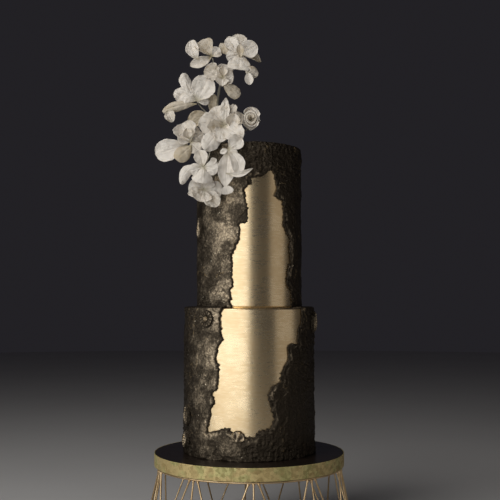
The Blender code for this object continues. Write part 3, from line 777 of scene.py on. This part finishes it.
def shell_height(ribs, depth):
    def height(share, turn, x, y):
        """A long dome with ribs that run its length and fine cross lines."""
        dome = depth * np.sqrt(np.clip(1 - share**2.4, 0, 1))
        ridges = 0.28 * depth * np.cos(ribs * np.arctan2(x, 26 + y)) * ramp(share, 1, 0.85)
        return dome + ridges + 0.12 * depth * np.cos(1.6 * y + 0.2 * x * x) * ramp(share, 1, 0.8)

    return height


def oval(width, length, frill=0.0):
    def reach(turn):
        far = 1 + frill * np.abs(np.sin(9 * turn))
        return width / 2 * np.cos(turn) * far, length / 2 * np.sin(turn) * far

    return reach


def fan_reach(turn):
    """Five scallops over the upper half, drawn in to a point below."""
    upper = ramp(np.sin(turn), -0.5, 0.2)
    far = 5 + 7 * upper * (0.86 + 0.14 * np.abs(np.sin(5 * (turn - math.pi / 2) + math.pi / 2)))
    return far * np.cos(turn), far * np.sin(turn)


def fan_height(share, turn, x, y):
    """A fan of ribs from its foot, rising to the scalloped rim."""
    ribs = np.cos(10 * np.arctan2(x, y + 11))
    return (1.4 + 1.5 * share + 0.7 * ribs) * ramp(share, 1.0, 0.86) + 0.6


daisy_flat = mound(oval(27, 27, 0.04), daisy_height, 44, 168)
moulded("moulded_daisy", "daisy", daisy_flat, "tier_lower", -38.5, 213, 0)
moulded("moulded_fan", "fan", mound(fan_reach, fan_height), "tier_lower", -9.5, 34, -20)
SHELLS = {
    "shell_shoulder": ("tier_lower", 74, 208, 20, 34, 5.6, -8),
    "shell_foot_high": ("tier_lower", -66, 62, 17, 32, 5.0, 6),
    "shell_foot_low": ("tier_lower", -68, 24, 20, 30, 5.6, -12),
    "shell_upper_left": ("tier_upper", -66, 128, 14, 36, 4.6, -4),
}
for node, (tier_node, angle, up, width, length, depth, turn) in SHELLS.items():
    flat = mound(oval(width, length, 0.06), shell_height(26, depth))
    moulded("moulded_" + node, node, flat, tier_node, angle, up, turn)

# %% [markdown]
# ## Sugar flowers
# Each petal is cut from thin sugar paste, rolled at its edge until it ruffles, veined, and dried
# over a cup. A petal here is a grid: one parameter runs from its foot to its tip, the other across
# it. The outline, the arch, the cup and the ruffles are added up along three directions, and a
# thin wall is added at the end.

# %% Petals
Petal = namedtuple(
    "Petal",
    "tip width peak blunt cup arch bow turn frill tone base",
    defaults=(0.6, 0.5, 0.12, 0.06, 0, 0, 1.0, 0.1, None),
)
ROWS, COLS = 44, 33


def petal_frame(petal, hub):
    """The petal's base, its direction and length, and the directions its face and side point."""
    base, tip = np.array(petal.base or hub, float), np.array(petal.tip, float)
    length = np.linalg.norm(tip - base)
    along = (tip - base) / length
    face = np.array([0.0, -1.0, 0.0])
    face = face - along * face.dot(along)
    face /= np.linalg.norm(face)
    turn = math.radians(petal.turn)
    face = face * math.cos(turn) + np.cross(along, face) * math.sin(turn)
    return base, along, length, face, np.cross(along, face)


def petal_part(petal, hub, seed):
    """One petal's grid, in metres.

    The middle line runs from base to tip; it arches forward and bows sideways by half a sine.
    The half width rises as a quarter sine to its peak and falls as a quarter cosine raised to
    the bluntness: 0.5 is a round tip, 1 a pointed one. The sides lift by the cup, the rim waves
    by the frill, and noise folded at zero creases the face like dried paste.
    """
    base, along, length, face, side = petal_frame(petal, hub)
    u, v = np.meshgrid(np.linspace(0, 1, ROWS), np.linspace(-1, 1, COLS), indexing="ij")
    rise = np.sin(math.pi / 2 * np.clip(u / petal.peak, 0, 1))
    fall = np.cos(math.pi / 2 * np.clip((u - petal.peak) / (1 - petal.peak), 0, 1))
    half = np.maximum(1.0 - 0.95 * u, petal.width / 2 * rise * np.maximum(fall, 0) ** petal.blunt)
    rim = np.abs(v)
    edge_spot = np.stack([u * length, np.sign(v) * (3 + half), 9.1 * seed + 0 * u], -1)
    nicks = 0.07 * noise(edge_spot, 6, seed) + 0.04 * noise(edge_spot, 2.6, seed + 9)
    half = half * (1 + petal.frill * nicks)
    flat = np.stack([u * length, v * half, 7.3 * seed + 0 * u], -1)
    wave = noise(edge_spot, 7, seed + 1) + 0.6 * noise(edge_spot, 3.4, seed + 4)
    ruffle = petal.frill * (0.05 * petal.width + 0.8) * rim**2.5 * wave * ramp(u, 0.1, 0.5)
    dents = 1.5 * noise(flat, 13, seed + 2) + 0.8 * noise(flat, 5.5, seed + 3)
    creases = 0.5 * (1 - 2 * np.abs(noise(flat * [0.6, 1, 1], 4.2, seed + 5)))
    vein = -0.5 * bump(v, 0, 0.09) * ramp(u, 0, 0.2) * ramp(u, 1, 0.7)
    lift = petal.arch * length * np.sin(math.pi * u) + petal.cup * 2 * half * rim**2
    lift = lift + ruffle + (dents + creases * petal.frill) * ramp(u, 0, 0.25) + vein
    middle = base + along * (u * length)[..., None]
    sideways = half * v + petal.bow * np.sin(math.pi * u)
    points = middle + side * sideways[..., None] + face * lift[..., None]
    points = points + np.array([0, 0, cake_top])
    values = {"lengthwise": u, "sideways": v, "tone": petal.tone + 0 * u}
    return points.reshape(-1, 3) * MM, grid_faces(ROWS, COLS), values


# %% [markdown]
# ## Where the petals go
# Each flower has a throat and a few petals, as in the CAD model. The places are millimetres from
# the cake's axis and from the top of the bark; a petal starts at the throat unless it has a base
# of its own. A petal's tone is painted shade: 0 is white, 1 a shaded cream-brown, and it is higher
# on petals that the light reaches less. The bud is a strip of paste rolled up inside four
# cupped petals.

# %% Flowers
cake_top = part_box("bark_upper")[1][2] / MM
# Painted shade: each petal's tone darkens it towards a shaded cream-brown; it is higher on petals that the
# light reaches less.
FLOWERS = {
    "flower_crown_right": (
        (-14, -38, 151),
        [
            Petal((-19, -31, 187), 28, tone=0.45, frill=0.8),
            Petal((-37, -35, 179), 21, cup=0.2),
            Petal((13, -42, 165), 31, peak=0.55, cup=0.1, arch=0.1, frill=0.6),
            Petal((-37, -38, 146), 22, cup=-0.1, turn=-20, tone=0.2),
            Petal((-15, -52, 163), 12, base=(-14, -50, 140), cup=0.3, tone=0.8, frill=0.5),
            Petal((-17, -62, 119), 37, base=(-13, -42, 150), peak=0.8, blunt=0.4, cup=-0.1, tone=0.35),
            Petal((19, -29, 141), 17, blunt=0.9, cup=0.3, tone=0.9, turn=-30),
            Petal((14, -53, 112), 19, base=(-8, -57, 126), cup=-0.3, tone=0.6, frill=0.6),
            Petal((1, -57, 96), 14, base=(-2, -56, 118), peak=0.65, cup=0.2, frill=0.5),
            Petal((-47, -29, 172), 18, base=(-31, -37, 151), tone=0.85, cup=-0.2, frill=0.5),
        ],
    ),
    "flower_crown_left": (
        (-60, -41, 147),
        [
            Petal((-85, -37, 170), 34, cup=0.25, tone=0.75, frill=0.8, turn=25),
            Petal((-94, -46, 172), 21, base=(-83, -45, 139), peak=0.55, cup=0.2, bow=-3),
            Petal((-95, -47, 130), 18, cup=0.2, bow=-3, tone=0.45, frill=0.6),
            Petal((-49, -36, 163), 15, peak=0.65, blunt=0.9, frill=0.5),
            Petal((-44, -40, 151), 8, blunt=0.8, tone=0.5),
        ],
    ),
    "flower_small": (
        (-43, -49, 109),
        [
            Petal((-72, -52, 122), 28, cup=0.3, frill=2.2, tone=0.5),
            Petal((-36, -43, 133), 25, cup=0.1, frill=1.6, tone=0.25),
            Petal((-25, -50, 112), 27, cup=0.2, frill=1.2, tone=0.4),
            Petal((-44, -56, 95), 24, cup=0.25, frill=1.4, tone=0.35),
            Petal((-16, -46, 79), 20, base=(-44, -51, 103), peak=0.72, blunt=0.35, cup=-0.15, tone=0.85),
            Petal((-41, -60, 125), 15, base=(-42, -54, 110), cup=0.5, tone=0.55),
        ],
    ),
    "flower_fan": (
        (-84, -47, 72),
        [
            Petal((-107, -50, 117), 20, peak=0.7, cup=-0.2, bow=-3, turn=15),
            Petal((-64, -55, 110), 40, peak=0.55, blunt=0.45, cup=0.12, frill=0.8),
            Petal((-121, -48, 86), 25, peak=0.65, cup=0.1, frill=1.6, tone=0.25),
            Petal((-139, -52, 54), 17, cup=-0.25, bow=3, tone=0.85, frill=0.8, base=(-84, -48, 67)),
            Petal((-122, -53, 37), 17, base=(-131, -52.5, 56), peak=0.45, cup=0.2, tone=0.55),
            Petal((-64, -44, 72), 14, tone=0.15),
        ],
    ),
    "flower_back": (
        (-60, -39, 50),
        [
            Petal((-59, -38, 86), 16, peak=0.7, cup=0.2, tone=1.1),
            Petal((-99, -41, 31), 24, bow=6, cup=0.15, arch=0.1, tone=1.1),
            Petal((-44, -37, 58), 18, tone=0.9),
        ],
    ),
    "flower_heart": (
        (-40, -64, 28),
        [
            Petal((-80, -59, 35), 34, cup=0.15, tone=0.3, turn=-10),
            Petal((-54, -57, 61), 32, cup=0.1, frill=1.5, tone=0.45),
            Petal((-37, -57, 75), 17, peak=0.45, blunt=0.8, frill=2.2, tone=0.15),
            Petal((-23, -55, 64), 18, peak=0.5, frill=2, tone=0.4),
            Petal((-7, -53, 47), 24, frill=1.3, tone=0.55),
            Petal((-70, -88, -15), 29, peak=0.65, cup=-0.1, frill=0.8),
            Petal((-46, -84, -1), 26, cup=0.12, frill=1.2, tone=0.25),
            Petal((-10, -88, 3), 34, cup=0.1, arch=0.08, tone=0.2),
            Petal((-22, -76, 45), 22, base=(-28, -70, 24), peak=0.5, cup=0.45, tone=0.45),
            Petal((-66, -80, 22), 20, base=(-43, -68, 27), cup=0.2, frill=1.4, tone=0.6),
        ],
    ),
    "flower_bud": (
        (3, -58, 39),
        [
            Petal((5, -66, 58), 26, blunt=0.4, cup=0.35),
            Petal((17, -66, 35), 27, blunt=0.4, cup=0.35),
            Petal((1, -66, 21), 26, blunt=0.4, cup=0.35, tone=0.3),
            Petal((-10, -65, 42), 24, blunt=0.4, cup=0.35, tone=0.5),
        ],
    ),
    "flower_left": (
        (-92, -75, 0),
        [
            Petal((-105, -76, 30), 37, peak=0.65, blunt=0.4, cup=0.35, frill=1.4, tone=0.25),
            Petal((-74, -62, 17), 32, cup=0.1, frill=1.5, tone=0.5),
            Petal((-147, -73, -19), 35, base=(-96, -74, -4), peak=0.68, blunt=0.4, cup=0.12, frill=0.5),
            Petal((-113, -87, -30), 25, base=(-90, -79, -6), blunt=0.4, cup=-0.2, tone=1.0, frill=0.4),
            Petal((-78, -76, -17), 22, frill=1.5, tone=0.45),
            Petal((-112, -81, 7), 18, cup=0.2, frill=0.6),
            Petal((-97, -84, 20), 15, base=(-94, -80, 4), peak=0.5, cup=0.5, frill=1.5, tone=0.5),
        ],
    ),
    "flower_drop": (
        (-32, -92, -15),
        [
            Petal((-12, -90, 4), 26, cup=0.15, tone=0.2),
            Petal((-45, -91, -20), 9, frill=1.8),
            Petal((-20, -93, -28), 16, tone=0.4),
            Petal((-37, -95, -74), 28, peak=0.5, blunt=0.7, cup=0.12, arch=0, frill=0.6),
            Petal((-14, -94, -56), 22, peak=0.65, blunt=0.6, bow=-5, cup=0.2, frill=0.6),
            Petal((6, -99, -45), 9, base=(-36, -96.5, -53), peak=0.5, blunt=0.9, bow=6, cup=0.3, frill=0.5),
            Petal((-33, -95, -85), 20, base=(-36, -94, -70), peak=0.75, blunt=0.3, frill=0.5),
        ],
    ),
    "flower_arch": (
        (-70, -98, -43),
        [
            Petal((-106, -97, -69), 18, bow=10, peak=0.7, cup=-0.3, frill=0.6),
            Petal((-77, -97, -17), 22, cup=0.15, frill=1.2, tone=0.35),
            Petal((-47, -100, -45), 24, cup=-0.15, frill=1.0, tone=0.1),
            Petal((-50, -97, -31), 10, base=(-62, -97, -38), blunt=0.8, cup=0.3),
            Petal((-73, -104, -69), 32, peak=0.65, blunt=0.4, cup=-0.2, frill=0.8),
            Petal((-92, -101, -50), 20, cup=-0.2, tone=0.1),
        ],
    ),
    "flower_hem": (
        (-70, -85, -76),
        [
            Petal((-93, -87, -68), 28, peak=0.65, cup=-0.2, frill=0.7),
            Petal((-95, -86, -84), 16, blunt=0.8, tone=0.4),
            Petal((-62, -83, -58), 26, tone=0.25),
            Petal((-43, -87, -84), 36, blunt=0.4, cup=-0.15, tone=0.2),
            Petal((-48, -88, -103), 25, frill=1.8, tone=0.45),
            Petal((-76, -88, -96), 32, frill=2.0, tone=0.45, cup=0.2),
        ],
    ),
}


def rosebud_part(centre, seed=5):
    """A rolled bud that faces the front: one long strip wound outwards from its middle.

    Rows run from the strip's foot to its lip, columns along its turns. The radius grows with the
    turns, the lip flares and waves, and the inner turns stand further forward.
    """
    rows, cols, turns = 24, 200, 2.2
    share, t = np.meshgrid(np.linspace(0, 1, rows), np.linspace(0, 1, cols), indexing="ij")
    turn = math.tau * turns * t
    spot = np.stack([7 * np.cos(turn), 7 * np.sin(turn), 9 * t + 5 * share], -1)
    radius = 1.2 + 8.8 * t + 4.8 * share**1.6 + 1.2 * noise(spot, 6.5, seed) * share
    forward = 3 + 12 * share**0.6 - 3.5 * share**5 + 3.5 * (1 - t)
    forward = forward + 1.5 * noise(spot, 5.5, seed + 1) * share
    x = radius * np.cos(turn) * 0.92
    z = radius * np.sin(turn) * 1.15
    points = np.stack([centre[0] + x, centre[1] - forward, centre[2] + z + cake_top], -1)
    # Painted shade inside the bud: the tone is highest on the inner turns and at the strip's foot, and
    # falls towards the outer lip.
    values = {"lengthwise": 0.3 + 0.7 * share, "sideways": 6 * t - 3, "tone": 0.75 - 0.6 * t * share}
    return points.reshape(-1, 3) * MM, grid_faces(rows, cols), values


def sugar_finish():
    glow = {"subsurface_weight": 0.12, "subsurface_scale": 0.004, "subsurface_radius": (1, 0.85, 0.7)}
    made, sockets, place = new_finish("sugar_petal", **glow)
    u, v = place.attribute("lengthwise"), place.attribute("sideways")
    tone = place.attribute("tone")
    across = place.node("CombineXYZ", {}, {"X": 9.0 * v, "Y": 1.4 * u, "Z": 3.0 * tone})
    veins = across.node("TexNoise", {}, {"Vector": across, "Scale": 1.0, "Detail": 2.0})
    clouds = place.noise(0.012, 3)
    # Painted shade: the tone darkens each petal towards cream-brown; the cloudy cream added to it is the
    # paste's own colour.
    cream_and_painted_shade = (0.75 * tone + 0.35 * clouds.step(0.45, 0.75)).step(0.1, 1.0)
    white_and_painted_shade = cream_and_painted_shade.blend((0.80, 0.735, 0.65), (0.50, 0.41, 0.28))
    throat = (1 - u.step(0.0, 0.3)) * 0.7
    shaded = throat.blend(white_and_painted_shade, (0.36, 0.31, 0.17))
    darker = (veins.step(0.52, 0.66) * 0.3).blend(shaded, (0.45, 0.39, 0.31))
    feed(
        sockets,
        base_color=darker,
        roughness=0.5 + 0.2 * clouds,
        normal=raised(0.7 * veins + 0.3 * place.noise(0.002, 3), 0.0008, 0.6),
    )
    return made


SUGAR = sugar_finish()
for order, (name, (throat, petals)) in enumerate(FLOWERS.items()):
    parts = [petal_part(petal, throat, 10 * order + i) for i, petal in enumerate(petals)]
    if name == "flower_bud":
        parts.append(rosebud_part(throat))
    bloom = piece(name.replace("flower", "sugar_flower"), parts, SUGAR, [name], weld=WELD)
    thicken(bloom, 0.5 * MM, offset=0.0)

# %% [markdown]
# ## The spray's wires
# The flowers are taped on thin wires that run together into one trunk. Each wire is a tube along
# a smooth curve through a few points, the same as in the CAD model.

# %% Wires of the spray
TRUNK = [(-40, -30, 0.4), (-43, -25, 22), (-52, -20, 62), (-48, -16, 104), (-42, -18, 118)]
BRANCHES = {
    "flower_crown_right": [(-43, -17, 112), (-30, -20, 128)],
    "flower_crown_left": [(-48, -16, 104), (-54, -22, 122)],
    "flower_small": [(-52, -19, 75), (-50, -28, 95)],
    "flower_fan": [(-48, -22, 44), (-66, -22, 56), (-78, -30, 66)],
    "flower_back": [(-47, -22, 40), (-56, -22, 48)],
    "flower_heart": [(-42, -27, 14), (-42, -42, 20)],
    "flower_bud": [(-42, -27, 12), (-18, -36, 20), (-2, -46, 28)],
    "flower_left": [(-42, -28, 10), (-60, -42, 13), (-78, -58, 7)],
    "flower_drop": [(-41, -29, 7), (-33, -60, 11), (-28, -83, 5)],
    "flower_arch": [(-41, -29, 9), (-54, -56, 12), (-60, -74, -4), (-63, -86, -26)],
    "flower_hem": [(-41, -29, 8), (-60, -54, 9), (-68, -66, -16), (-70, -68, -56)],
}


def smooth_path(points, steps=10):
    """A Catmull-Rom curve: each stretch blends the four points round it by cubic weights."""
    points = np.array(points, float)
    points = np.concatenate([[2 * points[0] - points[1]], points, [2 * points[-1] - points[-2]]])
    t = np.linspace(0, 1, steps, endpoint=False)[:, None, None]
    p0, p1, p2, p3 = points[:-3], points[1:-2], points[2:-1], points[3:]
    square, cube = 2 * p0 - 5 * p1 + 4 * p2 - p3, 3 * p1 - p0 - 3 * p2 + p3
    cubic = 2 * p1 + (p2 - p0) * t + square * t**2 + cube * t**3
    return np.concatenate([np.swapaxes(cubic / 2, 0, 1).reshape(-1, 3), points[-2:-1]])


def tape_finish():
    made, sockets, place = new_finish("floral_tape")
    wraps = place.noise(0.004, 3, stretch=(1, 1, 3))
    feed(
        sockets,
        base_color=wraps.blend((0.40, 0.37, 0.28), (0.66, 0.62, 0.52)),
        roughness=0.6 + 0.2 * wraps,
        normal=raised(wraps, 0.0005, 0.5),
    )
    return made


lift = np.array([0, 0, cake_top])
strands = [tube((smooth_path(TRUNK) + lift) * MM, 1.5 * MM)]
for name, points in BRANCHES.items():
    route = smooth_path([*points, FLOWERS[name][0]])[:-1] + lift
    strands.append(tube(route * MM, 1.0 * MM))
piece("spray_wires", strands, tape_finish(), ["stems"], weld=WELD, outwards=True)

# %% [markdown]
# ## Studio
# A plain pale floor, a broad soft light at the front left that draws the bright upright band on
# the gold, a small one high above it for the flowers, a weak one at the right, and a dim room. The
# camera stands at the height of the joint between the tiers and looks slightly up.


# %% Floor, lights and camera
FLOOR_RADIUS = 6  # metres


def floor_piece():
    made, sockets, place = new_finish("pale_floor")
    clouds = place.noise(0.4, 2)
    pale = clouds.blend((0.60, 0.59, 0.58), (0.66, 0.65, 0.64))
    feed(sockets, base_color=pale, roughness=0.7 + 0.1 * clouds)
    mesh = bpy.data.meshes.new("floor")
    corners = 96
    turn = np.linspace(0, math.tau, corners, endpoint=False)
    rim = np.stack([FLOOR_RADIUS * np.cos(turn), FLOOR_RADIUS * np.sin(turn), 0 * turn - 0.0002], -1)
    mesh.from_pydata(rim, [], [list(range(corners))])
    mesh.materials.append(made)
    floor = bpy.data.objects.new("floor", mesh)
    bpy.context.scene.collection.objects.link(floor)


def soft_light(name, bearing, distance, height, width, tall, watts, color, aim=0.42):
    """A softbox at a bearing from the front, turned to face a height on the cake's axis."""
    lamp = bpy.data.lights.new(name, "AREA")
    lamp.shape, lamp.size, lamp.size_y = "RECTANGLE", width, tall
    lamp.energy, lamp.color = watts, color
    made = bpy.data.objects.new(name, lamp)
    made.location = around(bearing, distance, height)
    x, y, z = np.array([0, 0, aim]) - around(bearing, distance, height)
    made.rotation_euler = (math.atan2(np.hypot(x, y), -z), 0, math.atan2(-x, y))
    made.visible_camera = False
    bpy.context.scene.collection.objects.link(made)


floor_piece()
soft_light("key", -37, 1.35, 0.45, 2.0, 1.35, 14, (1.0, 1.0, 0.99), aim=0.45)
soft_light("high", -42, 1.0, 1.75, 0.7, 0.7, 9, (1.0, 0.97, 0.93), aim=0.6)
soft_light("fill", 66, 1.6, 0.5, 1.1, 1.3, 1.6, (1.0, 0.93, 0.85))
scene = bpy.context.scene
room = bpy.data.worlds.new("room")
room.use_nodes = True
room.node_tree.nodes["Background"].inputs["Color"].default_value = (0.016, 0.015, 0.018, 1)
scene.world = room
scene.view_settings.view_transform = "Standard"

lens = bpy.data.cameras.new("camera")
lens.lens = 61.5
camera = bpy.data.objects.new("camera", lens)
camera.location = (0.0013, -1.4, 0.3595)
camera.rotation_euler = (math.radians(93.92), 0, 0)
scene.collection.objects.link(camera)
scene.camera = camera
